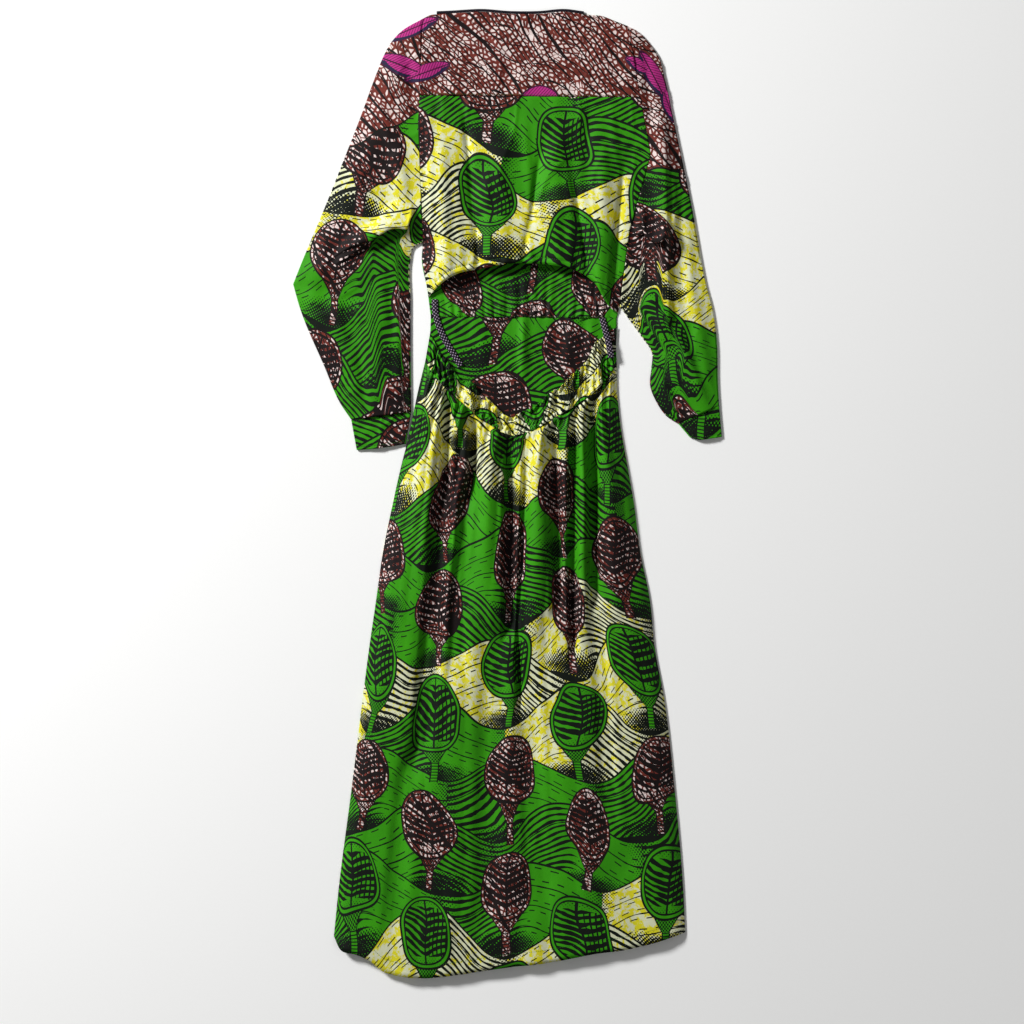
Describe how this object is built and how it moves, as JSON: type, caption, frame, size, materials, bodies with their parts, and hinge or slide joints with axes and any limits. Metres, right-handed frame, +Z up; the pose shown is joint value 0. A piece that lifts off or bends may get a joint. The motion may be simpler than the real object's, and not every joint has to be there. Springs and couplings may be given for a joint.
{
  "type": "open-back maxi dress laid flat",
  "caption": "Long-sleeved full-length cotton dress in a green wax print, laid flat on its front, with an arched back opening and a gathered skirt.",
  "frame": {"origin": "middle of the outline on the surface the dress rests on", "axes": "+Y towards the neck, +Z up from the surface, +X to the right as seen from above"},
  "size_m": [0.6198, 1.3993, 0.0293],
  "materials": {
    "green_print": "matt",
    "crackle_print": "matt",
    "binding": "matt"
  },
  "bodies": {
    "root": {"front_bodice": "green_print", "front_skirt": "green_print", "back_yoke": "crackle_print", "back_bodice": "green_print", "back_skirt_casing": "green_print", "back_skirt": "green_print", "sleeve_left": "green_print", "sleeve_right": "green_print", "cuff_left": "green_print", "cuff_right": "green_print", "neck_binding": "binding", "opening_binding_left": "binding", "opening_binding_right": "binding"}
  },
  "joints": []
}
